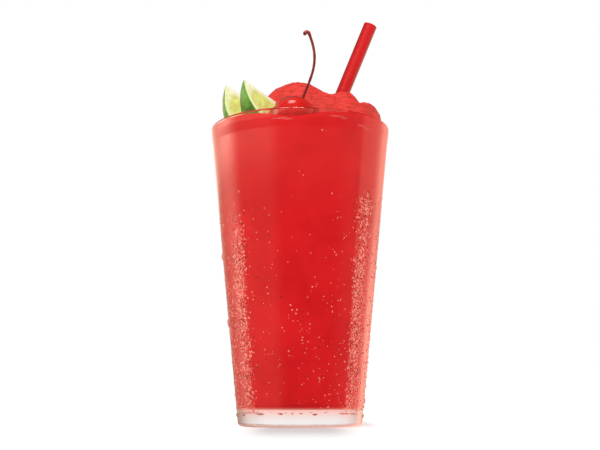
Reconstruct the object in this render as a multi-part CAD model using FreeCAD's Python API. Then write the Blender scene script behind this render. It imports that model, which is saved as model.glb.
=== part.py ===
"""Frozen cherry slush in a clear tumbler, with a straw, a stemmed cherry and two lime wedges.

Millimetres. The origin is the centre of the glass's foot on the table, +Z up, +Y away from the
side that the cherry is on, +X towards the side that the straw leans to.
"""
import FreeCAD, Part
import math
import os
from FreeCAD import Vector

# Tumbler
GLASS_H = 149.0          # foot to lip
RIM_R = 45.3             # outside of the wall's straight taper, at the lip
FOOT_R = 30.3            # outside of the wall's straight taper, at the table
RIM_WALL = 2.3           # wall at the lip
FLOOR_Z = 8.5            # thickness of the base
FLOOR_WALL = 4.3         # wall beside the inside floor
FLOOR_FILLET = 4.0       # inside corner of the floor
HEEL_FILLET = 2.2        # outside corner of the foot
BEAD = 0.4               # how far the lip's bead stands out of the taper
BEAD_H = 5.0             # height of the beaded band
LIP_FILLET = 1.1         # rounding of the lip
PUNT_R = 24.0            # hollow under the base, inside the resting ring
PUNT_H = 0.9

# Slush: heights are above the lip
FILL = -1.0              # level where the slush meets the wall
NEST = 3.2               # how much lower the slush is in front of the cherry
CAP_R = 0.988            # widest part of the mound, as a share of the mouth's radius
# Each lump of the mound: centre x, y, half widths in x, y, top
LUMPS = [
    (-1.0, 5.0, 17.5, 23.0, 26.5),
    (-13.0, 3.0, 7.0, 15.0, 21.0),
    (13.0, 1.0, 12.0, 22.0, 19.6),
    (23.0, 0.0, 9.5, 19.0, 20.2),
    (32.0, -5.0, 9.0, 24.0, 11.9),
    (36.0, -19.0, 7.0, 12.0, 6.0),
    (35.0, 12.0, 10.0, 20.0, 8.5),
    (-9.0, 21.0, 27.0, 17.0, 12.5),
]
LUMP_BLEND = 8           # power of the soft maximum that joins the lumps
GRID_STEP = 3.0          # spacing of the mound's surface grid

# Straw
STRAW_R = 3.5
STRAW_WALL = 0.35
STRAW_TILT = 22.0        # degrees from upright, leaning to +X
STRAW_TOP_X = 37.0
STRAW_Y = 3.0
STRAW_OUT = 57.6         # top end's centre above the lip
STRAW_FOOT_GAP = 1.5     # between the straw's foot and the wall

# Cherry and its stem
CHERRY_R = 10.3
CHERRY_WALL_GAP = 2.2    # slush between the cherry and the wall
CHERRY_SIDE_X = -13.2    # the cherry's side that faces the lime wedges
CHERRY_Z = -0.8          # centre above the lip
DIMPLE_AXIS = Vector(4.3, 1.0, 8.6)
DIMPLE_R = 3.2
DIMPLE_DEPTH = 0.9
STEM_R = 0.6
STEM_KNOB_R = 1.05
STEM_RISE = Vector(6.5, 2.9, 43.2)   # from the cherry's centre to the stem's end
STEM_BOW = 4.2           # sideways bow of the stem
STEM_SECTIONS = 14

# Lime wedges, side by side behind the cherry: tip x, height above the lip, heading, dip, roll
# about the cut edge, opening angle
LIME_LEN = 46.0
LIME_R = 20.0
LIME_FULLNESS = 0.68
LIME_TUCK = 2.3          # how far the right wedge's tip stands in front of the cherry's back
LIME_PITCH = 0.775       # front to back spacing of the tips, as a share of the lime's radius
LIMES = [
    ("lime_wedge_right", -27.7, 20.1, 29.0, 31.2, 8.0, 52.0),
    ("lime_wedge_left", -37.2, 19.6, 10.0, 36.0, 0.0, 46.0),
]

MOUTH_R = RIM_R - RIM_WALL
FLOOR_R = FOOT_R + (RIM_R - FOOT_R) * FLOOR_Z / GLASS_H - FLOOR_WALL
WALL_SLOPE = (MOUTH_R - FLOOR_R) / (GLASS_H - FLOOR_Z)


def outer_r(z):
    """Radius of the glass's outside taper at height z."""
    return FOOT_R + (RIM_R - FOOT_R) * z / GLASS_H


def inner_r(z):
    """Radius of the glass's inside taper at height z."""
    return FLOOR_R + WALL_SLOPE * (z - FLOOR_Z)


def lathe(points):
    """Solid of revolution about Z of a closed profile of (radius, z) points."""
    ring = [Vector(r, 0, z) for r, z in points]
    face = Part.Face(Part.makePolygon(ring + ring[:1]))
    return face.revolve(Vector(0, 0, 0), Vector(0, 0, 1), 360)


def ring_edges(solid, z, radius):
    """Circular edges of a solid at height z with about this radius."""
    return [e for e in solid.Edges
            if e.Closed and abs(e.BoundBox.ZMin - z) < 1e-3 and abs(e.BoundBox.ZMax - z) < 1e-3
            and abs(e.BoundBox.XMax - radius) < 0.05]


def cavity(top_points):
    """Inside of the glass from the rounded floor up, closed by the given points above the taper."""
    body = lathe([(0, FLOOR_Z), (FLOOR_R, FLOOR_Z)] + top_points)
    return body.makeFillet(FLOOR_FILLET, ring_edges(body, FLOOR_Z, FLOOR_R))


def make_glass():
    """Tapered tumbler with a thick base, a punt underneath, a rounded heel and a beaded lip."""
    outside = lathe([
        (0, 0), (FOOT_R, 0), (outer_r(GLASS_H - BEAD_H), GLASS_H - BEAD_H),
        (outer_r(GLASS_H - BEAD_H / 2) + BEAD, GLASS_H - BEAD_H / 2),
        (RIM_R + BEAD, GLASS_H), (0, GLASS_H),
    ])
    outside = outside.makeFillet(HEEL_FILLET, ring_edges(outside, 0, FOOT_R))
    punt = Part.makeCone(PUNT_R, PUNT_R - 4 * PUNT_H, PUNT_H)
    over = GLASS_H + 5
    glass = outside.cut(cavity([(inner_r(over), over), (0, over)])).cut(punt)
    lip = ring_edges(glass, GLASS_H, MOUTH_R) + ring_edges(glass, GLASS_H, RIM_R + BEAD)
    return glass.makeFillet(LIP_FILLET, lip)


def mound_height(x, y):
    """Slush surface: the fill level, lower at the cherry, plus a soft maximum of smooth lumps."""
    nest = NEST * math.exp(-((x - CHERRY_SIDE_X - CHERRY_R) / 13) ** 2 - ((y + MOUTH_R - 3) / 12) ** 2)
    total = 0.0
    for cx, cy, half_x, half_y, top in LUMPS:
        spread = ((x - cx) / half_x) ** 2 + ((y - cy) / half_y) ** 2
        total += (top * math.exp(-0.7 * spread ** 1.5) + 1e-6) ** LUMP_BLEND
    return GLASS_H + FILL - nest + total ** (1 / LUMP_BLEND)


def make_slush_body():
    """Slush before the garnish is taken out: inside of the glass, under the mound's surface."""
    cap = CAP_R * MOUTH_R
    shoulder = [(GLASS_H + FILL + 0.3, inner_r(GLASS_H + FILL + 0.3))]
    top = GLASS_H + max(lump[4] for lump in LUMPS) + 6
    # quarter-round shoulder that keeps the mound inside the mouth, then a steep cone
    for i in range(7):
        a = math.radians(15 * i)
        shoulder.append((GLASS_H + 1 + 11 * math.sin(a), cap - 9.5 * (1 - math.cos(a))))
    shoulder.append((top, cap * 0.3))
    envelope = cavity([(r, z) for z, r in shoulder] + [(0, top)])

    half = math.ceil((MOUTH_R + 3) / GRID_STEP)
    steps = [GRID_STEP * i for i in range(-half, half + 1)]
    surface = Part.BSplineSurface()
    surface.interpolate([[Vector(x, y, mound_height(x, y)) for y in steps] for x in steps])
    under = surface.toShape().extrude(Vector(0, 0, -GLASS_H - 30))
    return envelope.common(under)


def straw_ends():
    """Top and foot of the straw's axis; the foot stops short of the leaning side's far wall."""
    sin_t, cos_t = math.sin(math.radians(STRAW_TILT)), math.cos(math.radians(STRAW_TILT))
    top = Vector(STRAW_TOP_X, STRAW_Y, GLASS_H + STRAW_OUT)
    reach = inner_r(top.z) - STRAW_FOOT_GAP + top.x - STRAW_R * cos_t
    length = reach / (sin_t + WALL_SLOPE * cos_t)
    return top, top - Vector(sin_t, 0, cos_t) * length


def make_straw():
    """Straight open tube with square ends."""
    top, foot = straw_ends()
    axis, length = top - foot, (top - foot).Length
    tube = Part.makeCylinder(STRAW_R, length, foot, axis)
    return tube.cut(Part.makeCylinder(STRAW_R - STRAW_WALL, length, foot, axis))


def cherry_centre():
    """Centre of the cherry, held a set gap behind the front wall."""
    reach = MOUTH_R - CHERRY_WALL_GAP - CHERRY_R
    x = CHERRY_SIDE_X + CHERRY_R
    return Vector(x, -math.sqrt(reach ** 2 - x ** 2), GLASS_H + CHERRY_Z)


def make_cherry():
    """Ball with a shallow dimple where the stem leaves it, its seam on the side away from it."""
    centre, axis = cherry_centre(), Vector(DIMPLE_AXIS).normalize()
    ball = Part.makeSphere(CHERRY_R, centre)
    ball.rotate(centre, Vector(0, 0, 1), 180)
    pit = Part.makeSphere(DIMPLE_R, centre + axis * (CHERRY_R + DIMPLE_R - DIMPLE_DEPTH))
    return ball.cut(pit)


def make_stem(cherry):
    """Long bowed stem, from inside the dimple to a small knob."""
    axis = Vector(DIMPLE_AXIS).normalize()
    base = cherry_centre() + axis * (CHERRY_R - DIMPLE_DEPTH - 1.0)
    tip = cherry_centre() + STEM_RISE

    def at(t):
        bow = STEM_BOW * math.sin(math.pi * t ** 1.15)
        return base + (tip - base) * t + Vector(bow, 0, 0)

    sections = []
    for i in range(STEM_SECTIONS + 1):
        t = i / STEM_SECTIONS
        tangent = (at(min(t + 0.01, 1)) - at(max(t - 0.01, 0))).normalize()
        grow = max(0.0, (t - 0.8) / 0.2) ** 2
        radius = STEM_R + (STEM_KNOB_R - STEM_R) * grow
        sections.append(Part.Wire(Part.makeCircle(radius, at(t), tangent)))
    return Part.makeLoft(sections, True).cut(cherry)


def make_lime(row, tip_x, tip_up, heading, dip, roll, opening):
    """Wedge of a pointed lime: its half outline turned about the straight cut edge."""
    tip_y = 2 * CHERRY_R + CHERRY_WALL_GAP - MOUTH_R - LIME_TUCK + row * LIME_PITCH * LIME_R
    h, e, r = (math.radians(v) for v in (heading, -dip, roll))
    along = Vector(math.cos(e) * math.cos(h), math.cos(e) * math.sin(h), math.sin(e))
    side = along.cross(Vector(0, 0, 1)).normalize()
    rind = side * math.sin(r) - side.cross(along) * math.cos(r)
    tip = Vector(tip_x, tip_y, GLASS_H + tip_up)
    half = LIME_LEN / 2
    outline = []
    for i in range(17):
        s = -math.cos(math.pi * i / 16)
        bulge = LIME_R * max(0.0, 1 - s * s) ** LIME_FULLNESS
        outline.append(tip + along * (half * (1 + s)) + rind * bulge)
    curve = Part.BSplineCurve()
    curve.interpolate(outline)
    edge = Part.makeLine(outline[-1], outline[0])
    face = Part.Face(Part.Wire([curve.toShape(), edge]))
    face.rotate(tip, along, -opening / 2)
    return face.revolve(tip, along, opening)


def main():
    """Build every node and write one STEP file for each."""
    cherry = make_cherry()
    solids = {
        "glass": make_glass(),
        "straw": make_straw(),
        "cherry": cherry,
        "cherry_stem": make_stem(cherry),
    }
    for row, (name, *sizes) in enumerate(LIMES):
        solids[name] = make_lime(row, *sizes)
    slush = make_slush_body()
    for name in solids:
        if name != "glass":
            slush = slush.cut(solids[name])
    solids["slush"] = slush

    os.makedirs("parts", exist_ok=True)
    for name, shape in solids.items():
        shape = shape.removeSplitter() if name == "glass" else shape
        if len(shape.Solids) != 1 or not shape.isValid():
            raise ValueError("%s is not one valid solid: %d" % (name, len(shape.Solids)))
        shape.Solids[0].exportStep("parts/%s.step" % name)
        print(name, round(shape.Volume / 1000, 2), "cm3", shape.BoundBox)


main()
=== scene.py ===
"""Frozen cherry slush in a tumbler wet with condensation, with a straw, a cherry and lime wedges.

Laid out as a Blender add-on and run as a script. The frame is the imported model: metres, origin at
the centre of the glass's foot, +Z up, +Y away from the side that the cherry is on. Surfaces are
worked out in millimetres and scaled when they become meshes.
"""

import functools
import math

import bpy
import numpy as np
from bpy.props import FloatProperty, FloatVectorProperty, IntProperty, PointerProperty
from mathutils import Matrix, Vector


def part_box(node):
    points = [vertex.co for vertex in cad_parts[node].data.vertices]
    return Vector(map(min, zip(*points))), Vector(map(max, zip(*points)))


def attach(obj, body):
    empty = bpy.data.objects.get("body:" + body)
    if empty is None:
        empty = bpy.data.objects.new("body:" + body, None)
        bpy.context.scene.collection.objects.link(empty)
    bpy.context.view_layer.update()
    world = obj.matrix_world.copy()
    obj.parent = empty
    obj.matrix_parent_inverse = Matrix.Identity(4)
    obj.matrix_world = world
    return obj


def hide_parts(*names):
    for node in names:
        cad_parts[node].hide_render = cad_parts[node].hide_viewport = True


bl_info = {
    "name": "Slush in a Tumbler",
    "version": (1, 0, 0),
    "blender": (4, 5, 0),
    "location": "View3D > Sidebar > Slush",
    "description": "Frozen cherry slush in a wet tumbler with straw, cherry and lime wedges",
    "category": "Add Mesh",
}

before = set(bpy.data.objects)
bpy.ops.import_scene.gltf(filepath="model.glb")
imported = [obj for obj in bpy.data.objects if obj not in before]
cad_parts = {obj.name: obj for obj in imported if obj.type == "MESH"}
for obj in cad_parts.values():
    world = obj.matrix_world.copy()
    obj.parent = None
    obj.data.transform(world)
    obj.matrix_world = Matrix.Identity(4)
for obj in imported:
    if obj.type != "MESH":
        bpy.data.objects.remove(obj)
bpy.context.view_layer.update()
MM = 0.001

# Tumbler outline, as the solid but for a softer bead under the lip: lip and foot are outside radii
# of the straight taper
GLASS_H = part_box("glass")[1].z / MM
RIM_R, FOOT_R = 45.3, 30.3
RIM_WALL, FLOOR_WALL, FLOOR_Z, FLOOR_FILLET = 2.3, 4.3, 8.5, 4.0
HEEL_FILLET, LIP_FILLET, BEAD, BEAD_H = 2.2, 1.1, 0.15, 9.0
PUNT_R, PUNT_H = 24.0, 0.9
MOUTH_R = RIM_R - RIM_WALL
FLOOR_R = FOOT_R + (RIM_R - FOOT_R) * FLOOR_Z / GLASS_H - FLOOR_WALL
WALL_SLOPE = (MOUTH_R - FLOOR_R) / (GLASS_H - FLOOR_Z)

# Slush: fill level above the lip, dip at the cherry, width, and how far its wall is in the glass;
# lumps of the mound, with heights above the lip: centre x, y, half widths in x, y, top
FILL, NEST, CAP, WALL_INTO = -1.0, 3.2, 0.988 * MOUTH_R, 0.15
LUMPS = np.array([
    (-1.0, 5.0, 17.5, 23.0, 26.5),
    (-13.0, 3.0, 7.0, 15.0, 21.0),
    (13.0, 1.0, 12.0, 22.0, 19.6),
    (23.0, 0.0, 9.5, 19.0, 20.2),
    (32.0, -5.0, 9.0, 24.0, 11.9),
    (36.0, -19.0, 7.0, 12.0, 6.0),
    (35.0, 12.0, 10.0, 20.0, 8.5),
    (-9.0, 21.0, 27.0, 17.0, 12.5),
])

# Cherry and stem
CHERRY_LOW, CHERRY_HIGH = (np.array(c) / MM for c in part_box("cherry"))
CHERRY_C, CHERRY_R = (CHERRY_LOW + CHERRY_HIGH) / 2, (CHERRY_HIGH - CHERRY_LOW)[0] / 2
DIMPLE_AXIS = np.array((4.3, 1.0, 8.6)) / np.linalg.norm((4.3, 1.0, 8.6))
STEM_TOP, STEM_BOW, STEM_CURL = np.array((7.3, 2.9, 43.3)), 4.2, 1.1

# Lime wedges: tip, heading, dip, roll about the cut edge, opening angle in degrees
LIME_LEN, LIME_R, LIME_FULLNESS = 46.0, 20.0, 0.68
LIMES = {
    "lime_wedge_right": ((-27.7, -22.5, GLASS_H + 20.1), 29.0, 26.5, 0.0, 55.0),
    "lime_wedge_left": ((-37.6, -5.5, GLASS_H + 22.6), 13.0, 34.0, -4.0, 46.0),
}

# Larger drops on the glass: degrees round from +x, height, radius, sag, width over radius
BIG_DROPS = [
    (180, 84, 1.5, 0.9, 1.0), (181, 51, 1.5, 1.1, 1.0), (0, 12.5, 1.3, 0.8, 1.0),
    (-4, 5.0, 1.0, 0.3, 1.0), (184, 5.5, 0.9, 0.2, 1.0), (2, 24.0, 0.9, 0.5, 1.0),
    (179, 31, 0.8, 0.6, 1.0), (-2, 78, 0.8, 0.5, 1.0), (258, 143.6, 0.35, 0.0, 12.0),
    (263, 143.0, 0.32, 0.0, 7.0), (293, 145.2, 0.35, 0.0, 11.0), (298, 144.6, 0.3, 0.0, 6.0),
    (311, 142.6, 0.4, 0.0, 7.0), (316, 141.8, 0.35, 0.0, 6.0), (327, 54.7, 0.75, 0.9, 0.9),
    (331, 46.4, 0.65, 0.8, 0.9), (330, 34.2, 0.7, 0.9, 0.9), (329, 17.4, 0.7, 1.0, 0.9),
    (319, 42.0, 0.6, 0.2, 1.0), (322, 28.0, 0.6, 0.2, 1.0), (-1, 42.5, 0.8, 0.4, 1.0),
    (-2, 31.0, 0.8, 0.5, 1.0), (1, 27.0, 0.7, 0.3, 1.0), (-3, 19.5, 0.7, 0.3, 1.0),
    (-6, 9.5, 0.8, 0.2, 1.0), (183, 15.0, 0.7, 0.3, 1.0), (217, 38.0, 0.6, 0.4, 1.0),
    (214, 24.0, 0.65, 0.6, 1.0), (221, 17.0, 0.55, 0.2, 1.0), (210, 61.0, 0.6, 0.7, 0.9),
]

# Little groups of fine drops on the front, where the glass is about CLUSTER_R in radius: degrees,
# height, spread, how many
CLUSTER_R = 37
CLUSTERS = [
    (279, 64, 1.6, 5), (271, 47, 2.6, 12), (275, 38, 2.6, 9), (267, 53, 2.0, 3), (295, 57, 1.6, 4),
    (301, 59, 1.4, 3), (305, 37, 1.5, 4), (293, 31, 1.6, 2), (299, 19, 1.8, 3), (262, 34, 2.0, 3),
    (297, 100, 1.2, 2), (272, 118, 1.4, 2), (305, 90, 1.2, 2), (285, 24, 2.0, 3),
    (284, 137, 0.8, 2),
]

# Scattered drops: lowest and highest, the two strips' place and spread in degrees off the front,
# their tops on the right and the left, the half width of the front, the size of fine drops there,
# tries for each drop, and the chance that always gives one
DROPS_LOW, DROPS_HIGH = 7.5, 118.0
STRIP_AT, STRIP_SPREAD, STRIP_TOPS = 50, 6, (112.0, 103.0)
FRONT_HALF, FRONT_SHARE = 42, 0.68
TRIES, SURE = 14, 2.2

# Camera: place in metres, degrees that it looks up, focal length
CAMERA_AT, CAMERA_UP, CAMERA_LENS = (0.0, -0.505, 0.0167), 9.35, 60.7

# Lamps: name, the setting of its power, place and aim in metres, size, whether it is mirrored
LAMPS = [
    ("top lamp", "top", (-0.09, -0.22, 0.80), (0, 0, 0.15), (0.30, 0.26), True),
    ("side lamp", "side", (-0.88, -0.20, 0.35), (0, 0, 0.12), (0.62, 0.80), False),
    ("side lamp", "side", (0.88, -0.20, 0.35), (0, 0, 0.12), (0.62, 0.80), False),
    ("front lamp", "fill", (-0.10, -0.85, 0.65), (0, 0, 0.12), (0.90, 0.70), False),
    ("back lamp", "back", (0, 0.75, 0.65), (0, 0, 0.05), (0.50, 0.30), False),
    ("strip lamp", "strip", (-0.36, -0.80, 0.60), (0.06, 0, 0.18), (0.10, 0.45), True),
]

# Mirrored screens along y, -1 in front and 1 behind: steps as from, to, gain, and a fade behind
LEFT_STEPS = [(-0.95, -0.72, 0.26), (-0.10, 0.30, 0.75)]
LEFT_FADE = (0.28, 0.80, 1.0, 0.26)
RIGHT_STEPS = [(-0.10, 0.04, 0.40), (0.45, 0.80, 0.50), (-0.75, -0.10, 0.12)]
RIGHT_FADE = (0.70, 0.97, 1.0, 0.35)

# Shared node groups by name, every node tree that is made, and the spacing of nodes in a tree
SHARED, TREES = {}, []
COLUMN_STEP, ROW_STEP = 220, 280


# -------- shapes

def unit(v):
    """Vectors of length one along the last axis."""
    return v / np.linalg.norm(v, axis=-1, keepdims=True)


def ripple(points, size, seed, waves=22):
    """Soft noise: a sum of sine waves in random directions, each about size mm long."""
    rng = np.random.default_rng(seed)
    length = size * rng.uniform(0.7, 1.7, (waves, 1))
    k = unit(rng.normal(size=(waves, 3))) * 2 * math.pi / length
    return np.sin(points @ k.T + rng.uniform(0, 2 * math.pi, waves)).sum(-1) / math.sqrt(waves)


def rounded(points, radii, steps=8):
    """Outline with each corner swapped for an arc of its radius, centred on the bisector."""
    points, out = np.asarray(points, float), []
    for i, radius in enumerate(radii):
        p = points[i]
        if not radius:
            out.append(p[None])
            continue
        u, v = unit(points[i - 1] - p), unit(points[i + 1] - p)
        half = math.acos(np.clip(u @ v, -1, 1)) / 2
        centre = p + unit(u + v) * radius / math.sin(half)
        turn = math.pi - 2 * half
        s = np.linspace(0, 1, steps + 1)[:, None]
        start, end = (p + w * radius / math.tan(half) - centre for w in (u, v))
        arc = np.sin((1 - s) * turn) * start + np.sin(s * turn) * end
        out.append(centre + arc / math.sin(turn))
    return np.concatenate(out)


def even_rows(outline, step):
    """The outline with points added so that no run between two is longer than step."""
    run = np.linalg.norm(np.diff(outline, axis=0), axis=1)
    at = np.concatenate([[0], np.cumsum(run)])
    where = np.concatenate([np.linspace(a, b, max(2, math.ceil((b - a) / step) + 1))[:-1]
                            for a, b in zip(at[:-1], at[1:])] + [at[-1:]])
    return np.stack([np.interp(where, at, outline[:, k]) for k in range(outline.shape[1])], 1)


def circle(around):
    """Angles at even steps round a full circle."""
    return np.linspace(0, 2 * math.pi, around, endpoint=False)


def turned(outline, around):
    """Rings of a turned shape: each (radius, z) of the outline times a full circle."""
    a = circle(around)
    r, z = outline[:, 0, None], outline[:, 1, None]
    return np.stack([r * np.cos(a), r * np.sin(a), z + 0 * a], 2)


def fill_mesh(name, verts, faces, material):
    """Object at the origin from vertices in mm and lists of faces, smooth shaded."""
    mesh = bpy.data.meshes.new(name)
    mesh.from_pydata(verts * MM, [], faces)
    mesh.polygons.foreach_set("use_smooth", np.full(len(mesh.polygons), True))
    mesh.materials.append(material)
    mesh.validate()
    obj = bpy.data.objects.new(name, mesh)
    bpy.context.scene.collection.objects.link(obj)
    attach(obj, "root")
    return obj


def ring_faces(rows, around):
    """Vertex numbers of rings, each vertex's neighbour round its ring, and the quads between."""
    grid = np.arange(rows * around).reshape(rows, around)
    nxt = np.roll(grid, -1, axis=1)
    return grid, nxt, np.stack([grid[:-1], nxt[:-1], nxt[1:], grid[1:]], 2).reshape(-1, 4)


def shell(name, rings, first, last, material, slot, second=None, from_row=0):
    """Closed skin over rings (rows, around, xyz), ended by a fan to the points first and last.

    A second material covers the faces from the given row on. The faces are turned round if the
    signed volume, the sum of the tetrahedra from the origin to each triangle, is negative.
    """
    rows, around = rings.shape[:2]
    verts = np.concatenate([rings.reshape(-1, 3), [first, last]])
    grid, nxt, quads = ring_faces(rows, around)
    fans = np.concatenate([
        np.stack([nxt[0], grid[0], np.full(around, rows * around)], 1),
        np.stack([grid[-1], nxt[-1], np.full(around, rows * around + 1)], 1),
    ])
    tris = np.concatenate([quads[:, [0, 1, 2]], quads[:, [0, 2, 3]], fans])
    a, b, c = (verts[tris[:, k]] for k in range(3))
    if (a * np.cross(b, c)).sum() < 0:
        quads, fans = quads[:, ::-1], fans[:, ::-1]
    obj = fill_mesh(name, verts, quads.tolist() + fans.tolist(), material)
    if second:
        obj.data.materials.append(second)
        row = np.concatenate(
            [np.arange(len(quads)) // around, np.zeros(around), np.full(around, rows)])
        obj.data.polygons.foreach_set("material_index", (row >= from_row).astype(np.int32))
    return obj


def outer_r(z):
    """Radius of the glass's outside taper at height z."""
    return FOOT_R + (RIM_R - FOOT_R) * z / GLASS_H


def inner_r(z):
    """Radius of the glass's inside taper at height z."""
    return FLOOR_R + WALL_SLOPE * (z - FLOOR_Z)


def glass_outline():
    """Outline of the glass from the middle of the punt, round the foot and lip, to the floor."""
    low, mid = GLASS_H - BEAD_H, GLASS_H - BEAD_H / 2
    points = [
        (1.0, PUNT_H), (PUNT_R - 4 * PUNT_H, PUNT_H), (PUNT_R, 0), (FOOT_R, 0),
        (outer_r(low), low), (outer_r(mid) + BEAD, mid), (RIM_R + BEAD, GLASS_H),
        (MOUTH_R, GLASS_H), (FLOOR_R, FLOOR_Z), (1.0, FLOOR_Z),
    ]
    radii = [0, 0.6, 0.6, HEEL_FILLET, 4.0, 1.5, LIP_FILLET, LIP_FILLET, FLOOR_FILLET, 0]
    return even_rows(rounded(points, radii), 4.0)


def mound_height(x, y):
    """Slush surface: the fill level, lower at the cherry, plus a soft maximum of smooth lumps."""
    nest = NEST * np.exp(-((x - CHERRY_C[0]) / 13) ** 2 - ((y + MOUTH_R - 3) / 12) ** 2)
    cx, cy, wide, deep, top = (LUMPS[:, k] for k in range(5))
    spread = ((x[..., None] - cx) / wide) ** 2 + ((y[..., None] - cy) / deep) ** 2
    lumps = ((top * np.exp(-0.7 * spread ** 1.5) + 1e-6) ** 8).sum(-1) ** 0.125
    return GLASS_H + FILL - nest + lumps


def shoulder_height(r):
    """Highest slush at radius r: a quarter-round shoulder inside the mouth, then a steep cone."""
    turn = np.arccos(np.clip(1 - (CAP - r) / 9.5, 0, 1))
    top = GLASS_H + LUMPS[:, 4].max() + 6
    cone = GLASS_H + 12 + (CAP - 9.5 - r) / (0.7 * CAP - 9.5) * (top - GLASS_H - 12)
    return np.where(r < CAP - 9.5, cone, GLASS_H + 1 + 11 * np.sin(turn))


def slush_rings(around, rows, grain):
    """Rings of the slush: floor, rounded corner, wall up to its contact line, then the mound.

    The wall stands a little way into the glass. The mound's height is the smaller of the lumps and
    the shoulder, plus long folds and short grains that fade out at the contact line.
    """
    a = circle(around)
    contact = np.full(around, GLASS_H + FILL)
    for _ in range(4):
        r = inner_r(contact)
        contact = np.minimum(mound_height(r * np.cos(a), r * np.sin(a)), GLASS_H - 0.6)
    corner = rounded([(1.0, FLOOR_Z), (FLOOR_R, FLOOR_Z), (inner_r(20), 20)], [0, FLOOR_FILLET, 0])
    corner = even_rows(corner[:-1], 2.0) + (WALL_INTO, -WALL_INTO)
    base = turned(corner, around)
    up = np.linspace(0, 1, 60)[1:, None]
    z = corner[-1, 1] + up * (contact - corner[-1, 1])
    r = inner_r(z) + WALL_INTO
    wall = np.stack([r * np.cos(a), r * np.sin(a), z], 2)

    share = np.linspace(1, 0, rows + 1)[1:-1, None] ** 0.8
    r = share * inner_r(contact)
    x, y = r * np.cos(a), r * np.sin(a)
    flat = np.stack([x, y, 0 * x], 2)
    drift = ripple(flat, 22, 5)[..., None] * 3
    folds = 1 - np.abs(ripple(flat * (0.6, 1.5, 1) + drift, 13, 3))
    grains = ripple(flat, 3.2, 7) * 0.5 + ripple(flat, 1.7, 9) * 0.35
    lift = np.clip((1 - share) * 12, 0, 1)
    z = np.minimum(mound_height(x, y), shoulder_height(r))
    z = z + lift * (0.9 * (folds - 0.6) + grain * grains)
    edge = np.clip((1 - share) * 30, 0, 1)
    z = edge * z + (1 - edge) * contact
    return np.concatenate([base, wall, np.stack([x, y, z], 2)]), len(base) + len(wall) - 1


def cherry_rings(around=72, rows=56):
    """Rings of the cherry about the dimple's axis: a ball, dimpled and a little uneven."""
    polar = np.linspace(0, math.pi, rows + 2)[1:-1, None]
    a = circle(around)
    side = unit(np.cross(DIMPLE_AXIS, (0, 1, 0)))
    other = np.cross(DIMPLE_AXIS, side)
    ray = (np.cos(polar)[..., None] * DIMPLE_AXIS
           + (np.sin(polar) * np.cos(a))[..., None] * side
           + (np.sin(polar) * np.sin(a))[..., None] * other)
    dimple = 1.5 * np.exp(-(polar / 0.26) ** 2) + 0.5 * np.exp(-((polar - math.pi) / 0.2) ** 2)
    uneven = 0.16 * ripple(ray * CHERRY_R, 12, 21) + 0.02 * ripple(ray * CHERRY_R, 4, 22)
    radius = CHERRY_R - 0.25 - dimple + uneven
    return CHERRY_C + ray * radius[..., None], [
        CHERRY_C + DIMPLE_AXIS * (CHERRY_R - 1.75), CHERRY_C - DIMPLE_AXIS * (CHERRY_R - 0.75)]


def stem_rings(around=20):
    """Rings round the stem's path: a straight rise plus a sideways sine bow, then a small curl.

    The curl at the end is an arc of a circle over to -x. The stem is thicker at both its ends.
    """
    base = CHERRY_C + DIMPLE_AXIS * (CHERRY_R - 1.9)
    t = np.linspace(0, 1, 90)[:, None]
    top = CHERRY_C + STEM_TOP
    rise = base + (top - base) * t + STEM_BOW * np.sin(math.pi * t ** 1.2) * np.array((1, 0, 0))
    turn = np.radians(np.linspace(40, 205, 22))[:, None]
    curl = STEM_CURL * np.concatenate([np.cos(turn), 0.2 * np.cos(turn), np.sin(turn)], 1)
    path = np.concatenate([rise, top + curl[1:] - curl[0]])
    run = np.concatenate([[0], np.cumsum(np.linalg.norm(np.diff(path, axis=0), axis=1))])
    share = run / run[-1]
    along = unit(np.gradient(path, run, axis=0))
    side = unit(np.cross(along, (0, 1, 0)))
    other = np.cross(along, side)
    radius = 0.66 + 0.42 * np.clip((share - 0.86) / 0.12, 0, 1) ** 1.5 + 0.3 * np.exp(-share / 0.02)
    radius = radius * (1 + 0.05 * ripple(path, 4, 31)) * np.clip((1 - share) / 0.012, 0.5, 1) ** 0.5
    a = circle(around)[:, None]
    out = np.cos(a) * side[:, None] + np.sin(a) * other[:, None]
    flutes = 1 + 0.06 * np.cos(5 * a[:, 0])
    return path[:, None] + out * (radius[:, None] * flutes)[..., None], path


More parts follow.
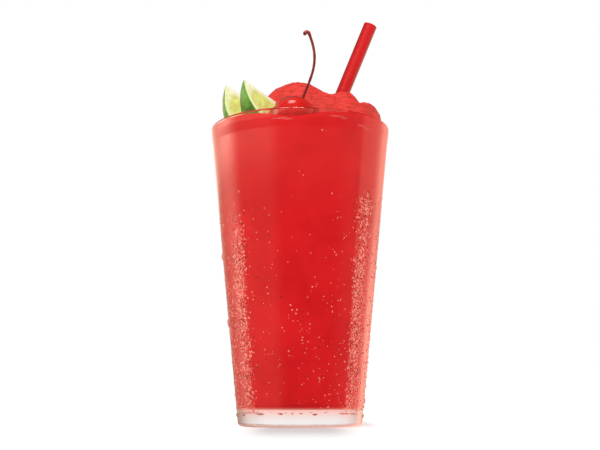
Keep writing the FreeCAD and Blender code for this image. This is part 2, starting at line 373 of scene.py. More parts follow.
def lime_rings(tip, heading, dip, roll, opening, seed):
    """Rings of a lime wedge, one across the fruit at each step along the straight cut edge.

    A ring runs from the cut edge out over one flat face, round the rind and back over the other
    face. The fruit's radius is a pointed oval, (1 - s^2) to a power with s from -1 to 1. The flesh
    is pushed in and out a little by noise, and pulled in beside the pith.
    """
    h, e, turn = (math.radians(v) for v in (heading, -dip, roll))
    along = np.array((math.cos(e) * math.cos(h), math.cos(e) * math.sin(h), math.sin(e)))
    side = unit(np.cross(along, (0, 0, 1)))
    mid = side * math.sin(turn) - np.cross(side, along) * math.cos(turn)
    across = np.cross(along, mid)
    s = -np.cos(np.linspace(0.02, 0.98, 96) * math.pi)[:, None]
    radius = LIME_R * (1 - s * s) ** LIME_FULLNESS
    half = math.radians(opening) / 2
    face, rind = np.linspace(0, 1, 40), np.linspace(-1, 1, 30)
    rind, back = rind[1:-1], face[::-1][:-1]
    share = np.concatenate([face, np.ones(len(rind)), back])[None]
    angle = np.concatenate([0 * face - half, half * rind, 0 * back + half])[None]
    cos, sin = np.cos(angle)[..., None], np.sin(angle)[..., None]
    out = mid * cos + across * sin
    core = np.array(tip) + along * (LIME_LEN / 2 * (1 + s))[..., None]
    depth = radius * (1 - share)
    ring = core + out * (radius * share)[..., None]
    on_face = (np.abs(angle) == half) & (share < 1)
    normal = (-mid * sin + across * cos) * np.sign(angle)[..., None]
    cells = 0.22 * ripple(ring, 4.5, seed) + 0.12 * ripple(ring, 2.2, seed + 1)
    flesh = np.clip((depth - 2.4) / 1.0, 0, 1) * np.clip(radius * share / 2.5, 0, 1)
    push = np.where(on_face, flesh * (cells - 0.25), 0)
    pores = np.where(on_face, 0, 0.07 * ripple(ring, 2.0, seed + 2))
    ring = ring + normal * push[..., None] + out * pores[..., None]
    ends = [np.array(tip), np.array(tip) + along * LIME_LEN]
    return ring, ends, {
        "depth_mm": depth, "core_mm": radius * share + 0 * angle,
        "along_mm": LIME_LEN / 2 * (1 + s) + 0 * angle,
        "rind": np.where(on_face, 0.0, 1.0) + 0 * depth,
    }


def dome_parts(around, rows, flat):
    """A unit drop, flat high: a cap of a sphere, as rings from edge to crown, with a flat back.

    The cap meets its base at twice the angle whose tangent is flat.
    """
    a = circle(around)
    edge = 2 * math.atan(flat)
    t = np.linspace(edge, 0, rows, endpoint=False)[:, None]
    wide, high = np.sin(t) / math.sin(edge), (np.cos(t) - math.cos(edge)) / math.sin(edge)
    rings = np.stack([wide * np.cos(a), wide * np.sin(a), high + 0 * a], 2)
    verts = np.concatenate([rings.reshape(-1, 3), [(0, 0, flat), (0, 0, 0)]])
    grid, nxt, quads = ring_faces(rows, around)
    top, back = rows * around, rows * around + 1
    tris = np.concatenate([
        quads[:, [0, 1, 2]], quads[:, [0, 2, 3]],
        np.stack([grid[-1], nxt[-1], np.full(around, top)], 1),
        np.stack([nxt[0], grid[0], np.full(around, back)], 1),
    ])
    return verts, tris


def drops(angle, height, radius, sag, wide, dome):
    """Vertices and faces of water drops on the glass.

    Each is a dome: its flat side lies on the taper, its crown points along the wall's outward
    normal, its lower half is stretched down the wall by sag, and it is wide times as broad.
    """
    verts, tris = dome_parts(*dome)
    tilt = math.atan((RIM_R - FOOT_R) / GLASS_H)
    c, s, one = np.cos(angle), np.sin(angle), np.ones(len(angle))
    out = np.stack([c * math.cos(tilt), s * math.cos(tilt), -one * math.sin(tilt)], 1)
    up = np.stack([c * math.sin(tilt), s * math.sin(tilt), one * math.cos(tilt)], 1)
    side = np.cross(up, out)
    centre = np.stack([outer_r(height) * c, outer_r(height) * s, height], 1) - 0.03 * out
    x, y, z = verts.T
    y = np.where(y < 0, 1 + sag[:, None], 1.0) * y
    size, broad = radius[:, None], (wide * radius)[:, None]
    points = (centre[:, None] + (broad * x)[..., None] * side[:, None]
              + (size * y)[..., None] * up[:, None] + (size * z)[..., None] * out[:, None])
    faces = tris[None] + (np.arange(len(angle)) * len(verts))[:, None, None]
    return points.reshape(-1, 3), faces.reshape(-1, 3)


def off_front(angle):
    """Degrees from the middle of the front, -180 to 180, of an angle from +x in radians."""
    return np.degrees(np.mod(angle + 1.5 * math.pi, 2 * math.pi) - math.pi)


def scatter(rng, count, clear):
    """Angles and heights of drops: thick in a strip on each side of the front, thinner behind.

    The strips start a little lower on the left and thin out towards the foot. The front is nearly
    clear: clear is the share of it without drops. Ripples make it all patchy.
    """
    angle = rng.uniform(0, 2 * math.pi, count * TRIES)
    height = rng.uniform(DROPS_LOW, DROPS_HIGH, count * TRIES)
    off = off_front(angle)
    past = np.abs(off) - STRIP_AT
    top = np.where(off > 0, *STRIP_TOPS)
    strip = np.exp(-(past / STRIP_SPREAD) ** 2) * np.clip((top - height) / 8, 0, 1)
    sides = 0.3 * np.clip(past / 40, 0.2, 1) * np.clip((top + 6 - height) / 35, 0, 1)
    sides = np.where(past > 0, sides, 0)
    strip = strip * (0.42 + 0.58 * np.clip((height - 20) / 50, 0, 1))
    chance = 1.3 * strip + sides + (1 - clear) * np.clip((DROPS_HIGH - height) / 60, 0, 1)
    spots = np.stack([60 * np.cos(angle), 60 * np.sin(angle), height * 0.6], 1)
    chance *= np.clip(0.9 + 0.4 * ripple(spots, 26, 61), 0.15, 1.5)
    keep = np.flatnonzero(rng.uniform(size=chance.size) * SURE < chance)[:count]
    return angle[keep], height[keep]


def drop_piece(name, angle, height, size, sag, wide, dome, material):
    """One mesh of drops, with the edges of their flat backs sharp."""
    verts, faces = drops(angle, height, size, sag, wide, dome)
    obj = fill_mesh(name, verts, faces.tolist(), material)
    around, each = dome[0], len(verts) // len(angle)
    ends = np.empty(2 * len(obj.data.edges), np.int32)
    obj.data.edges.foreach_get("vertices", ends)
    rim = (ends.reshape(-1, 2) % each < around).all(1)
    obj.data.attributes.new("sharp_edge", "BOOLEAN", "EDGE").data.foreach_set("value", rim)


def add_lamp(name, power, place, aim, size, glossy):
    """Flat soft lamp at a place, turned to face its aim."""
    data = bpy.data.lights.new(name, "AREA")
    data.shape, data.energy = "RECTANGLE", power
    data.size, data.size_y = size
    obj = bpy.data.objects.new(name, data)
    x, y, z = np.array(aim) - np.array(place)
    obj.location = place
    obj.rotation_euler = (math.acos(-z / math.hypot(x, y, z)), 0, math.atan2(y, x) - math.pi / 2)
    obj.visible_camera = obj.visible_transmission = False
    obj.visible_glossy = glossy
    bpy.context.scene.collection.objects.link(obj)


# -------- materials

def give(socket, value):
    """Links an output to the input socket, or sets the input to any other value."""
    if isinstance(value, bpy.types.NodeSocket):
        socket.id_data.links.new(value, socket)
    else:
        socket.default_value = (*value, 1) if socket.type == "RGBA" else value


def put(node, *first, **named):
    """Gives a node's first inputs their values in order, and others by name."""
    for socket, value in zip(node.inputs, first):
        give(socket, value)
    for key, value in named.items():
        give(node.inputs[key.replace("_", " ")], value)
    return node


def add(tree, kind, **settings):
    """New shader node of a kind, with its properties and inputs set by name."""
    node = tree.nodes.new("ShaderNode" + kind)
    for key, value in settings.items():
        if hasattr(node, key):
            setattr(node, key, value)
        else:
            put(node, **{key: value})
    return node


def span(source, low, high, to_low=0.0, to_high=1.0):
    """Smooth, clamped Map Range of a socket, from low..high to to_low..to_high."""
    node = add(source.id_data, "MapRange", interpolation_type="SMOOTHSTEP", Value=source,
               From_Min=low, From_Max=high, To_Min=to_low, To_Max=to_high)
    return node.outputs["Result"]


def mix(factor, a, b):
    """Mix of two colours, each a socket or a colour, by a socket."""
    node = add(factor.id_data, "Mix", data_type="RGBA", Factor=factor)
    give(node.inputs[6], a)
    give(node.inputs[7], b)
    return node.outputs[2]


def maths(operation, a, b):
    """Math node on two values, at least one of them a socket."""
    tree = (a if isinstance(a, bpy.types.NodeSocket) else b).id_data
    return put(add(tree, "Math", operation=operation), a, b).outputs[0]


# sum, difference and product of two values
plus, minus, times = (functools.partial(maths, kind) for kind in ("ADD", "SUBTRACT", "MULTIPLY"))


def between(factor, a, b):
    """Value a where the factor is 0, b where it is 1."""
    return plus(times(minus(1.0, factor), a), times(factor, b))


def parts(vector):
    """The x, y and z of a vector socket."""
    return add(vector.id_data, "SeparateXYZ", Vector=vector).outputs


def scaled(colour, share):
    """A colour times a number, at most 1 in each channel."""
    return tuple(min(1.0, c * share) for c in colour)


def lay_out(tree):
    """Stands the nodes in columns, each to the left of every node that it feeds."""
    column = {node.name: 0 for node in tree.nodes}
    for _ in tree.nodes:
        for link in tree.links:
            feeder = link.from_node.name
            column[feeder] = max(column[feeder], column[link.to_node.name] + 1)
    used = [0] * (len(column) + 1)
    for node in tree.nodes:
        step = column[node.name]
        node.location = (-COLUMN_STEP * step, -ROW_STEP * used[step])
        used[step] += 1


def node_group(name, inputs, outputs):
    """Empty shader group with named sockets, and its input and output nodes."""
    group = bpy.data.node_groups.new(name, "ShaderNodeTree")
    TREES.append(group)
    for label, kind, value in inputs:
        socket = group.interface.new_socket(label, in_out="INPUT", socket_type=kind)
        if value is not None:
            socket.default_value = value
    for label, kind in outputs:
        group.interface.new_socket(label, in_out="OUTPUT", socket_type=kind)
    given, out = (group.nodes.new("NodeGroup" + end) for end in ("Input", "Output"))
    return group, given.outputs, out


def mottle_group():
    """Two colours blended by soft cloudy noise, and the noise as a mask."""
    group, given, out = node_group("Mottle", [
        ("Vector", "NodeSocketVector", None), ("Scale", "NodeSocketFloat", 100.0),
        ("Contrast", "NodeSocketFloat", 1.0),
        ("Dark", "NodeSocketColor", (0.1, 0.1, 0.1, 1)),
        ("Light", "NodeSocketColor", (0.9, 0.9, 0.9, 1)),
    ], [("Color", "NodeSocketColor"), ("Mask", "NodeSocketFloat")])
    noise = add(group, "TexNoise", Vector=given["Vector"], Scale=given["Scale"],
                Detail=4.0, Roughness=0.6, Distortion=0.6)
    spread = times(minus(noise.outputs[0], 0.5), given["Contrast"])
    mask = plus(times(spread, 3.0), 0.5)
    mask.node.use_clamp = True
    put(out, Color=mix(mask, given["Dark"], given["Light"]), Mask=mask)
    return group


def skin_group():
    """Uneven gloss and a fine height field: noise, plus noise at a quarter of its size."""
    group, given, out = node_group("Skin", [
        ("Vector", "NodeSocketVector", None), ("Scale", "NodeSocketFloat", 500.0),
        ("Gloss", "NodeSocketFloat", 0.3), ("Spread", "NodeSocketFloat", 0.1),
    ], [("Roughness", "NodeSocketFloat"), ("Height", "NodeSocketFloat")])
    noise, fine = (
        add(group, "TexNoise", Vector=given["Vector"], Scale=scale, Detail=detail)
        for scale, detail in ((given["Scale"], 3.0), (times(given["Scale"], 4.0), 2.0)))
    put(out, Roughness=plus(given["Gloss"], times(minus(noise.outputs[0], 0.5), given["Spread"])),
        Height=plus(noise.outputs[0], times(fine.outputs[0], 0.3)))
    return group


def use_group(name, vector, **values):
    """Outputs of a shared group, placed in the vector's tree."""
    return add(vector.id_data, "Group", node_tree=SHARED[name], Vector=vector, **values).outputs


def mottle(vector, scale, contrast, dark, light):
    """Cloudy colour from dark to light."""
    return use_group("Mottle", vector, Scale=scale, Contrast=contrast, Dark=dark, Light=light)[0]


def skin(shader, vector, scale, gloss, spread):
    """Gives the shader the shared group's roughness and gives back the group's height."""
    group = use_group("Skin", vector, Scale=scale, Gloss=gloss, Spread=spread)
    put(shader, Roughness=group["Roughness"])
    return group["Height"]


def askew(shader, low, high, most=1.0):
    """How far the surface is turned from the viewer: 0 below low, most above high."""
    weight = add(shader.id_data, "LayerWeight", Blend=0.5)
    return span(weight.outputs["Facing"], low, high, 0.0, most)


def new_material(name, **sockets):
    """Material with its Principled shader's plain sockets set, and that shader and coordinates."""
    material = bpy.data.materials.new(name)
    material.use_nodes = True
    TREES.append(material.node_tree)
    shader = put(material.node_tree.nodes["Principled BSDF"], **sockets)
    return material, shader, add(material.node_tree, "TexCoord").outputs["Object"]


def blend_shaders(factor, first, second):
    """Puts out the first shader where the factor is 0, the second where it is 1."""
    tree = factor.id_data
    both = put(add(tree, "MixShader"), factor, first.outputs[0], second.outputs[0])
    put(tree.nodes["Material Output"], Surface=both.outputs[0])


def let_light_in(shader):
    """Clear for shadow and diffuse rays, so that lamps light what is in the glass."""
    rays = add(shader.id_data, "LightPath").outputs
    blend_shaders(maths("MAXIMUM", rays["Is Shadow Ray"], rays["Is Diffuse Ray"]), shader,
                  add(shader.id_data, "BsdfTransparent"))


def bump(shader, height, strength, distance):
    """Bump of the shader's normal from a height socket."""
    node = add(shader.id_data, "Bump", Strength=strength, Distance=distance, Height=height)
    put(shader, Normal=node.outputs[0])


def glass_material():
    """Clear glass with very shallow waves from moulding, faintly misted where it is cold.

    The thick foot has painted light and shade in its colour: a painted pink glow of the slush's
    red, most under the slush, and painted shade round the sides and at the heel.
    """
    material, shader, coords = new_material(
        "Clear tumbler glass", Transmission_Weight=1.0, IOR=1.5)
    z = parts(coords)["Z"]
    # Painted light and shade in the foot: cloudy greyish pink, a pink glow of the slush under it, a
    # darker heel, and darker edges where it is seen askew.
    thick = mottle(coords, 60.0, 1.0, (0.94, 0.90, 0.89), (0.98, 0.955, 0.95))
    thick = mix(span(z, 0.0035, 0.0080), thick, (0.99, 0.66, 0.61))
    thick = mix(span(z, 0.0024, 0.0004, 0.0, 0.9), thick, (0.36, 0.28, 0.27))
    thick = mix(askew(shader, 0.1, 0.72), thick, (0.32, 0.19, 0.17))
    surface = use_group("Skin", coords, Scale=260.0, Gloss=0.02, Spread=0.03)
    mist = span(z, 0.150, 0.09, 0.0, 0.03)
    put(shader, Base_Color=mix(span(z, 0.0092, 0.0080), (0.985, 0.99, 0.99), thick),
        Roughness=plus(surface["Roughness"], mist))
    bump(shader, surface["Height"], 0.06, 0.0002)
    let_light_in(shader)
    return material


def water_material(name, clear, painted_light_tint):
    """Condensed water, tinted with painted light that stands for the slush seen through it; the
    finest drops pass less of the light straight on, and look milky.
    """
    material, shader, coords = new_material(name, Transmission_Weight=clear, IOR=1.33)
    put(shader, Base_Color=mottle(coords, 90.0, 1.0, scaled(painted_light_tint, 0.94), painted_light_tint))
    bump(shader, skin(shader, coords, 900.0, 0.03, 0.04), 0.05, 0.0001)
    let_light_in(shader)
    return material


def cup_material(light, dark):
    """Slush against the inside of the glass: flat, even red ice with soft cloudy patches.

    Its underside is pale and the red just above it lighter: painted light, the glow where the slush
    meets the glass floor.
    """
    material, shader, coords = new_material("Cherry slush in the glass", Specular_IOR_Level=0.0)
    z = parts(coords)["Z"]
    red = mottle(coords, 42.0, 0.9, dark, light)
    # Painted light: a paler band low down and a pale underside, for the glow where the slush meets
    # the floor.
    red = mix(span(z, 0.0098, 0.0085, 0.0, 0.5), red, (1.0, 0.40, 0.31))
    put(shader, Base_Color=mix(span(z, 0.0087, 0.0084), red, (0.98, 0.70, 0.64)))
    bump(shader, skin(shader, coords, 160.0, 0.8, 0.3), 0.1, 0.0005)
    return material


def mound_material(crown, grain):
    """Wet crushed ice of the mound: soft red, grainy, with a dull shine and pale crystal flecks.

    Painted shade darkens it where it is seen askew and close round the cherry, where the cherry
    sits in it.
    """
    material, shader, coords = new_material(
        "Cherry slush mound", Subsurface_Weight=0.2, Subsurface_Scale=0.002,
        Subsurface_Radius=(1.0, 0.12, 0.10), Specular_IOR_Level=0.1, IOR=1.33)
    tree = material.node_tree
    long = add(tree, "Mapping", Vector=coords, Scale=(0.6, 0.6, 1.9)).outputs[0]
    red = mottle(long, 420.0, 1.3, scaled(crown, 0.66), crown)
    # Painted shade: darker close round the cherry and where the mound is seen askew.
    away = put(add(tree, "VectorMath", operation="DISTANCE"), coords, CHERRY_C * MM)
    cherry_contact_shade = span(away.outputs["Value"], 0.0135, 0.0108, 0.0, 0.85)
    dark = maths("MAXIMUM", askew(shader, 0.68, 1.0, 0.7), cherry_contact_shade)
    put(shader, Base_Color=mix(dark, red, (0.36, 0.012, 0.010)))
    crystals = add(tree, "TexVoronoi", feature="F1", Scale=grain * 1.6, Vector=coords)
    height = plus(skin(shader, coords, grain, 0.42, 0.4), times(crystals.outputs["Distance"], -0.5))
    bump(shader, height, 0.35, 0.0004)
    return material


def straw_material(colour):
    """Red drawn plastic, with faint lengthwise draw lines and a soft shine; painted shade darkens
    it where it is seen askew.
    """
    material, shader, coords = new_material(
        "Red straw plastic", Subsurface_Weight=0.1, Subsurface_Scale=0.001,
        Specular_IOR_Level=0.3, IOR=1.5)
    lengthwise = add(material.node_tree, "Mapping", vector_type="TEXTURE", Vector=coords,
                     Rotation=(0, math.radians(22), 0), Scale=(1, 1, 30)).outputs[0]
    red = mottle(lengthwise, 500.0, 0.7, scaled(colour, 0.86), colour)
    # Painted shade: darker towards the edges, where the straw is seen askew.
    put(shader, Base_Color=mix(askew(shader, 0.22, 0.62, 0.9), red, (0.20, 0.004, 0.005)))
    bump(shader, skin(shader, lengthwise, 900.0, 0.22, 0.1), 0.12, 0.0001)
    return material


def cherry_material(colour):
    """Syruped cherry skin: deep red under a wet shine, with small pits; painted shade darkens it
    where it is seen askew.
    """
    material, shader, coords = new_material(
        "Syruped cherry skin", Subsurface_Weight=0.2, Subsurface_Scale=0.002,
        Subsurface_Radius=(1.0, 0.1, 0.08), Coat_Weight=0.6, Coat_Roughness=0.06,
        Specular_IOR_Level=0.15, IOR=1.4)
    red = mottle(coords, 220.0, 0.9, scaled(colour, 0.7), colour)
    # Painted shade: darker towards the rim, where the cherry is seen askew.
    put(shader, Base_Color=mix(askew(shader, 0.45, 0.95, 0.9), red, (0.20, 0.004, 0.004)))
    bump(shader, skin(shader, coords, 420.0, 0.32, 0.1), 0.12, 0.0003)
    return material


def stem_material(low, high):
    """Stained stalk, dark along its length and paler towards the cut end."""
    material, shader, coords = new_material(
        "Cherry stalk", Coat_Weight=0.1, Coat_Roughness=0.2, Specular_IOR_Level=0.2)
    brown = mottle(coords, 380.0, 1.0, scaled(low, 0.6), low)
    put(shader, Base_Color=mix(span(parts(coords)["Z"], 0.190, 0.194), brown, high))
    bump(shader, skin(shader, coords, 700.0, 0.35, 0.2), 0.3, 0.0002)
    return material


def lime_material(rind, pith, flesh):
    """Lime wedge: waxy pitted rind, pale pith, and flesh of long juice sacs with pale walls.

    Each vertex carries its depth under the rind, its distance from the cut edge and its place
    along the fruit, all in mm; thresholds on them part rind, pith, flesh and the white core.
    """
    material, shader, coords = new_material(
        "Lime wedge", Subsurface_Weight=0.15, Subsurface_Scale=0.002,
        Subsurface_Radius=(0.7, 0.8, 0.3), Specular_IOR_Level=0.35, IOR=1.4)
    tree = material.node_tree
    depth, core, along, skin_part = (
        add(tree, "Attribute", attribute_name=name).outputs["Fac"]
        for name in ("depth_mm", "core_mm", "along_mm", "rind"))
    wobble = add(tree, "TexNoise", Scale=160.0, Detail=2.0, Vector=coords).outputs[0]
    deep = plus(depth, times(minus(wobble, 0.5), 1.4))

    # juice sacs: cells stretched from the cut edge out to the rind
    place = add(tree, "CombineXYZ", X=times(along, 0.62), Y=times(core, 0.2),
                Z=times(wobble, 1.2)).outputs[0]
    walls, cells = (add(tree, "TexVoronoi", feature=kind, Scale=1.0, Vector=place).outputs
                    for kind in ("DISTANCE_TO_EDGE", "F1"))
    sac = add(tree, "SeparateColor", Color=cells["Color"]).outputs[0]
    juice = mix(sac, scaled(flesh, 0.88), flesh)
    wall = tuple(0.5 * (a + b) for a, b in zip(flesh, pith))
    juice = mix(span(walls["Distance"], 0.16, 0.0, 0.0, 0.6), juice, wall)

    white = times(span(core, 0.5, 2.8), span(along, 2.0, 8.5))
    inside = mix(span(deep, 2.6, 4.4), pith, mix(white, (0.80, 0.80, 0.58), juice))
    peel = mottle(coords, 120.0, 1.3, scaled(rind, 0.6), scaled(rind, 1.35))
    outside = maths("MAXIMUM", skin_part, span(deep, 0.75, 0.35))
    put(shader, Base_Color=mix(outside, inside, peel))

    pits = add(tree, "TexVoronoi", feature="SMOOTH_F1", Scale=900.0, Vector=coords)
    relief = mix(outside, walls["Distance"], pits.outputs["Distance"])
    bump(shader, plus(relief, skin(shader, coords, 600.0, 0.35, 0.15)), 0.2, 0.0004)
    return material


def ground_material():
    """Pale ground: lit near the glass, so that it takes its shadow, and plain white further off.

    The shade in front of the foot is deepened. The ground right under the foot is mostly white, a
    painted pool of light, and mirrored in the glass it is dim.
    """
    material, shader, coords = new_material("White ground", Roughness=0.9, Specular_IOR_Level=0.0)
    tree = material.node_tree
    away = put(add(tree, "VectorMath", operation="LENGTH"), coords).outputs["Value"]
    x, y, _ = parts(coords)
    side = maths("ABSOLUTE", x, 0.0)
    # Painted light: mostly white right under the foot.
    far = maths("MAXIMUM", span(away, 0.05, 0.22, 0.1, 1.0), span(away, 0.030, 0.026, 0.0, 0.9))
    far = maths("MAXIMUM", far, span(side, 0.032, 0.042, 0.0, 0.94))
    shade = times(span(y, -0.17, -0.045, 0.0, 0.36), span(y, -0.022, -0.030))
    shade = times(shade, span(side, 0.012, 0.028, 1.0, 0.0))
    put(shader, Base_Color=mix(shade, (0.93, 0.925, 0.92), (0, 0, 0)))
    rays = add(tree, "LightPath").outputs
    mirrored = maths("GREATER_THAN", rays["Glossy Depth"], 0.5)
    white = add(tree, "Emission", Color=mix(shade, (1, 1, 1), (0, 0, 0)),
                Strength=minus(1.08, mirrored))
    blend_shaders(far, shader, white)
    return material


def screen(y, steps, fade):
    """Brightness of a screen along y: soft steps (from, to, gain) added up, times a fade."""
    rise = functools.reduce(plus, [span(y, low, high, 0.0, gain) for low, high, gain in steps])
    return times(rise, span(y, *fade))


def surroundings(ambient, left, right):
    """Even room light; white wherever the camera sees the room, straight or through glass.

    Mirrors see a dim room in front and a soft bright screen on each side: the left one fades in
    slowly and is brighter high up, the right one is brighter low down.
    """
    world = bpy.data.worlds.new("Pale room")
    world.use_nodes = True
    tree = world.node_tree
    TREES.append(tree)
    x, y, z = parts(add(tree, "TexCoord").outputs["Generated"])
    rays = add(tree, "LightPath").outputs
    glossy, through = rays["Is Glossy Ray"], rays["Is Transmission Ray"]

    to_right = span(x, -0.15, 0.15)
    lift = minus(z, times(y, 0.07))
    left_glow = times(times(left, screen(y, LEFT_STEPS, LEFT_FADE)),
                      span(lift, 0.07, 0.12, 1.0, 2.4))
    right_glow = times(times(screen(y, RIGHT_STEPS, RIGHT_FADE), right),
                       between(span(z, 0.15, -0.02), 0.68, 1.36))
    glow = plus(between(to_right, left_glow, right_glow), span(lift, 0.03, 0.108, 0.12, 0.40))
    glow = times(glow, span(z, 0.6, 0.25, 0.1, 1.0))
    behind = span(y, -0.1, 0.1, 0.03, 1.0)

    bounced = maths("GREATER_THAN", rays["Diffuse Depth"], 0.5)
    mirrored = maths("GREATER_THAN", rays["Glossy Depth"], 0.5)
    seen = maths("MAXIMUM", rays["Is Camera Ray"], times(through, minus(1.0, mirrored)))
    level = between(glossy, ambient, glow)
    level = between(seen, between(through, level, behind), 1.0)
    warm = mix(to_right, (1.05, 0.82, 0.62), (1.5, 0.80, 0.60))
    unseen = times(glossy, minus(1.0, seen))
    put(tree.nodes["Background"], Strength=between(bounced, level, ambient),
        Color=mix(unseen, (1.0, 1.0, 1.0), warm))
    return world


# -------- settings

def colour_prop(name, description, default):
    """Colour setting in scene-linear values."""
    return FloatVectorProperty(name=name, description=description, default=default,
                               subtype="COLOR", size=3, min=0.0, max=1.0)


def number_prop(name, description, default, **limits):
    """Number of at least 0, unless the limits say otherwise."""
    kind = FloatProperty if isinstance(default, float) else IntProperty
    return kind(name=name, description=description, default=default, **{"min": 0, **limits})


def power_prop(name, description, default):
    """Lamp power in watts."""
    return number_prop(name, description, default, unit="POWER")


class SlushGlassSettings(bpy.types.PropertyGroup):
    """Settings of the tumbler and its condensation."""

    around: number_prop("Segments", "Steps round the tumbler", 224, min=48)
    fine_drops: number_prop("Fine drops", "Small milky drops on the glass", 7800, max=8300)
    fine_size: number_prop("Fine drop size", "Usual radius of a small drop, in mm", 0.36,
                           min=0.1, max=1.0)
    beads: number_prop("Beads", "Clear drops among the fine ones", 1900, max=3000)


class SlushIceSettings(bpy.types.PropertyGroup):
    """Settings of the slush."""

    cup: colour_prop("In the glass", "Slush seen through the glass", (0.65, 0.0105, 0.0135))
    deep: colour_prop("Denser parts", "Darker clouds in the slush", (0.54, 0.0058, 0.0092))
    crown: colour_prop("Mound", "Slush above the lip", (0.74, 0.052, 0.040))
    grain: number_prop("Grain scale", "Grains per metre in the surface", 750.0, min=50.0)
    rough: number_prop("Grain height", "Height of the mound's grains, in mm", 0.28)


class SlushGarnishSettings(bpy.types.PropertyGroup):
    """Colours of the straw, the cherry and the limes."""

    straw: colour_prop("Straw", "Straw plastic", (0.60, 0.010, 0.012))
    cherry: colour_prop("Cherry", "Cherry skin", (0.66, 0.011, 0.007))
    stem: colour_prop("Stem", "Stalk along its length", (0.23, 0.012, 0.012))
    stem_end: colour_prop("Stem end", "Stalk's cut end", (0.50, 0.10, 0.09))
    rind: colour_prop("Rind", "Lime rind", (0.085, 0.27, 0.015))
    pith: colour_prop("Pith", "Lime pith and walls", (0.76, 0.82, 0.43))
    flesh: colour_prop("Flesh", "Lime juice sacs", (0.66, 0.70, 0.16))


class SlushStageSettings(bpy.types.PropertyGroup):
    """Settings of the lamps and the surroundings."""

    top: power_prop("Top lamp", "Power of the lamp overhead", 2.1)
    side: power_prop("Side lamps", "Power of each side lamp", 1.5)
    fill: power_prop("Front lamp", "Power of the front lamp", 3.5)
    back: power_prop("Back lamp", "Power of the lamp behind", 3.0)
    strip: power_prop("Strip lamp", "Power of the narrow lamp at the front", 0.4)
    ambient: number_prop("Ambient", "Even light from all round", 0.56)
    left: number_prop("Left screen", "Brightness of the left reflection", 1.6)
    right: number_prop("Right screen", "Brightness of the right reflection", 1.8)


# -------- pieces

class SLUSH_OT_glass(bpy.types.Operator):
    """Build the clear tumbler"""

    bl_idname = "slush.glass"
    bl_label = "Tumbler"

    def execute(self, context):
        settings = context.scene.slush_glass
        obj = shell("tumbler", turned(glass_outline(), settings.around), (0, 0, PUNT_H),
                    (0, 0, FLOOR_Z), glass_material(), "clear_glass")
        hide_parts("glass")
        return {"FINISHED"}


class SLUSH_OT_ice(bpy.types.Operator):
    """Build the slush with its mound"""

    bl_idname = "slush.ice"
    bl_label = "Slush"

    def execute(self, context):
        settings = context.scene.slush_ice
        rings, top_row = slush_rings(360, 120, settings.rough)
        obj = shell("slush_ice", rings, (0, 0, rings[0, 0, 2]), rings[-1].mean(0),
                    cup_material(settings.cup, settings.deep), "cherry_slush",
                    mound_material(settings.crown, settings.grain), top_row)
        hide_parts("slush")
        return {"FINISHED"}


class SLUSH_OT_straw(bpy.types.Operator):
    """Finish the straw, which keeps the model's own tube"""

    bl_idname = "slush.straw"
    bl_label = "Straw"

    def execute(self, context):
        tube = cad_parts["straw"]
        tube.data.materials.clear()
        tube.data.materials.append(straw_material(context.scene.slush_garnish.straw))
        return {"FINISHED"}


class SLUSH_OT_cherry(bpy.types.Operator):
    """Build the cherry and its stem"""

    bl_idname = "slush.cherry"
    bl_label = "Cherry and Stem"

    def execute(self, context):
        settings = context.scene.slush_garnish
        rings, ends = cherry_rings()
        skin_look = cherry_material(settings.cherry)
        fruit = shell("cherry_fruit", rings, *ends, skin_look, "cherry_skin")
        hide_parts("cherry")
        rings, path = stem_rings()
        stalk = shell("cherry_stalk", rings, path[0], path[-1] + 0.3 * unit(path[-1] - path[-2]),
                      stem_material(settings.stem, settings.stem_end), "cherry_stalk")
        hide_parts("cherry_stem")
        return {"FINISHED"}


class SLUSH_OT_limes(bpy.types.Operator):
    """Build the two lime wedges"""

    bl_idname = "slush.limes"
    bl_label = "Lime Wedges"

    def execute(self, context):
        settings = context.scene.slush_garnish
        material = lime_material(settings.rind, settings.pith, settings.flesh)
        for seed, (node, sizes) in enumerate(LIMES.items()):
            rings, ends, values = lime_rings(*sizes, 40 + 5 * seed)
            wedge = shell(node.replace("wedge", "slice"), rings, *ends, material, "lime")
            for name, grid in values.items():
                last = (0.0, LIME_LEN if name == "along_mm" else 0.0)
                layer = wedge.data.attributes.new(name, "FLOAT", "POINT")
                layer.data.foreach_set("value", np.float32(np.concatenate([grid.ravel(), last])))
            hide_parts(node)
        return {"FINISHED"}


class SLUSH_OT_condensation(bpy.types.Operator):
    """Scatter condensed drops over the outside of the glass"""

    bl_idname = "slush.condensation"
    bl_label = "Condensation"

    def execute(self, context):
        settings = context.scene.slush_glass
        rng = np.random.default_rng(11)

        angle, height = scatter(rng, settings.fine_drops, 0.982)
        near = np.concatenate([
            rng.normal(0, 1, (number, 2)) * (math.degrees(spread / CLUSTER_R), spread)
            + (degrees, height)
            for degrees, height, spread, number in CLUSTERS])
        angle = np.concatenate([angle, np.radians(near[:, 0])])
        height = np.concatenate([height, near[:, 1]])
        size = settings.fine_size * rng.lognormal(0, 0.3, len(angle)).clip(0.5, 2.0)
        size = np.where(np.abs(off_front(angle)) < FRONT_HALF, FRONT_SHARE * size, size)
        # The mist drops' salmon colour is a painted glow of the slush's red through them.
        drop_piece("condensation_fine", angle, height, size, np.zeros(len(angle)), 1.0, (6, 2, 0.4),
                   water_material("Condensation mist drops", 0.62, (1.0, 0.42, 0.33)))

        angle, height = scatter(rng, settings.beads, 0.985)
        size = rng.uniform(0.28, 0.55, len(angle))
        sag = rng.uniform(0, 0.35, len(angle))
        # The beads' dark red colour is painted shade, the dark look of a lens of water.
        drop_piece("condensation_beads", angle, height, size, sag, 1.0, (10, 3, 0.4),
                   water_material("Condensation beads", 0.96, (0.58, 0.17, 0.14)))

        degrees, height, size, sag, wide = np.array(BIG_DROPS).T
        # The big drops' faint pink is a painted glow of the slush.
        drop_piece("condensation_drops", np.radians(degrees), height, size, sag, wide,
                   (16, 6, 0.55), water_material("Condensation water", 0.96, (1.0, 0.90, 0.86)))
        return {"FINISHED"}


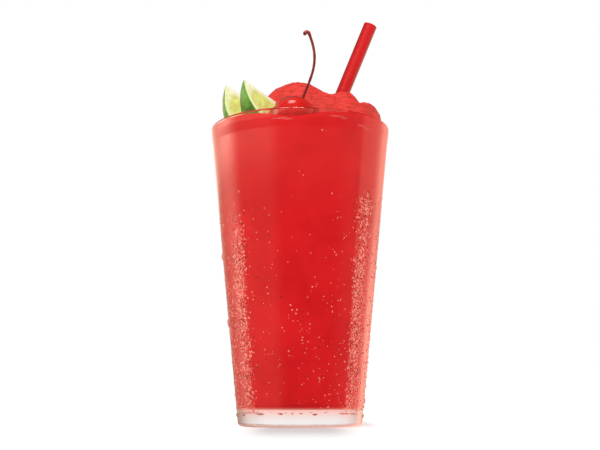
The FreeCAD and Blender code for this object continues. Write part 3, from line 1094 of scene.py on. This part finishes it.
class SLUSH_OT_stage(bpy.types.Operator):
    """Set the camera, the lamps, the ground and the pale surroundings"""

    bl_idname = "slush.stage"
    bl_label = "Stage"

    def execute(self, context):
        settings = context.scene.slush_stage
        scene = context.scene
        scene.view_settings.view_transform = "Standard"

        camera = bpy.data.objects.new("camera", bpy.data.cameras.new("camera"))
        camera.data.lens, camera.data.sensor_width = CAMERA_LENS, 36.0
        camera.location = CAMERA_AT
        camera.rotation_euler = (math.radians(90 + CAMERA_UP), 0, 0)
        scene.collection.objects.link(camera)
        scene.camera = camera
        for name, power, place, aim, size, glossy in LAMPS:
            add_lamp(name, getattr(settings, power), place, aim, size, glossy)

        ground = bpy.data.meshes.new("ground")
        ground.from_pydata([(-2, -2, 0), (2, -2, 0), (2, 2, 0), (-2, 2, 0)], [], [(0, 1, 2, 3)])
        ground.materials.append(ground_material())
        obj = bpy.data.objects.new("ground", ground)
        obj.visible_glossy = False
        scene.collection.objects.link(obj)
        scene.world = surroundings(settings.ambient, settings.left, settings.right)
        return {"FINISHED"}


class SLUSH_PT_panel(bpy.types.Panel):
    """Lists the steps and their settings"""

    bl_idname = "SLUSH_PT_panel"
    bl_label = "Slush"
    bl_space_type = "VIEW_3D"
    bl_region_type = "UI"
    bl_category = "Slush"

    def draw(self, context):
        for step in STEPS:
            self.layout.operator(step.bl_idname)
        for name in SETTINGS:
            box = self.layout.box()
            group = getattr(context.scene, name)
            for key in group.__annotations__:
                box.prop(group, key)


STEPS = (SLUSH_OT_glass, SLUSH_OT_ice, SLUSH_OT_straw, SLUSH_OT_cherry, SLUSH_OT_limes,
         SLUSH_OT_condensation, SLUSH_OT_stage)
SETTINGS = {"slush_glass": SlushGlassSettings, "slush_ice": SlushIceSettings,
            "slush_garnish": SlushGarnishSettings, "slush_stage": SlushStageSettings}


def register():
    """Registers the settings, steps and panel."""
    for cls in (*SETTINGS.values(), *STEPS, SLUSH_PT_panel):
        bpy.utils.register_class(cls)
    for name, cls in SETTINGS.items():
        setattr(bpy.types.Scene, name, PointerProperty(type=cls))


def unregister():
    """Removes what register added."""
    for name in SETTINGS:
        delattr(bpy.types.Scene, name)
    for cls in reversed((*SETTINGS.values(), *STEPS, SLUSH_PT_panel)):
        bpy.utils.unregister_class(cls)


def main():
    """Builds everything in order."""
    register()
    SHARED.update({"Mottle": mottle_group(), "Skin": skin_group()})
    for step in STEPS:
        getattr(bpy.ops.slush, step.bl_idname.split(".")[1])()
    for tree in TREES:
        lay_out(tree)


if __name__ == "__main__":
    main()
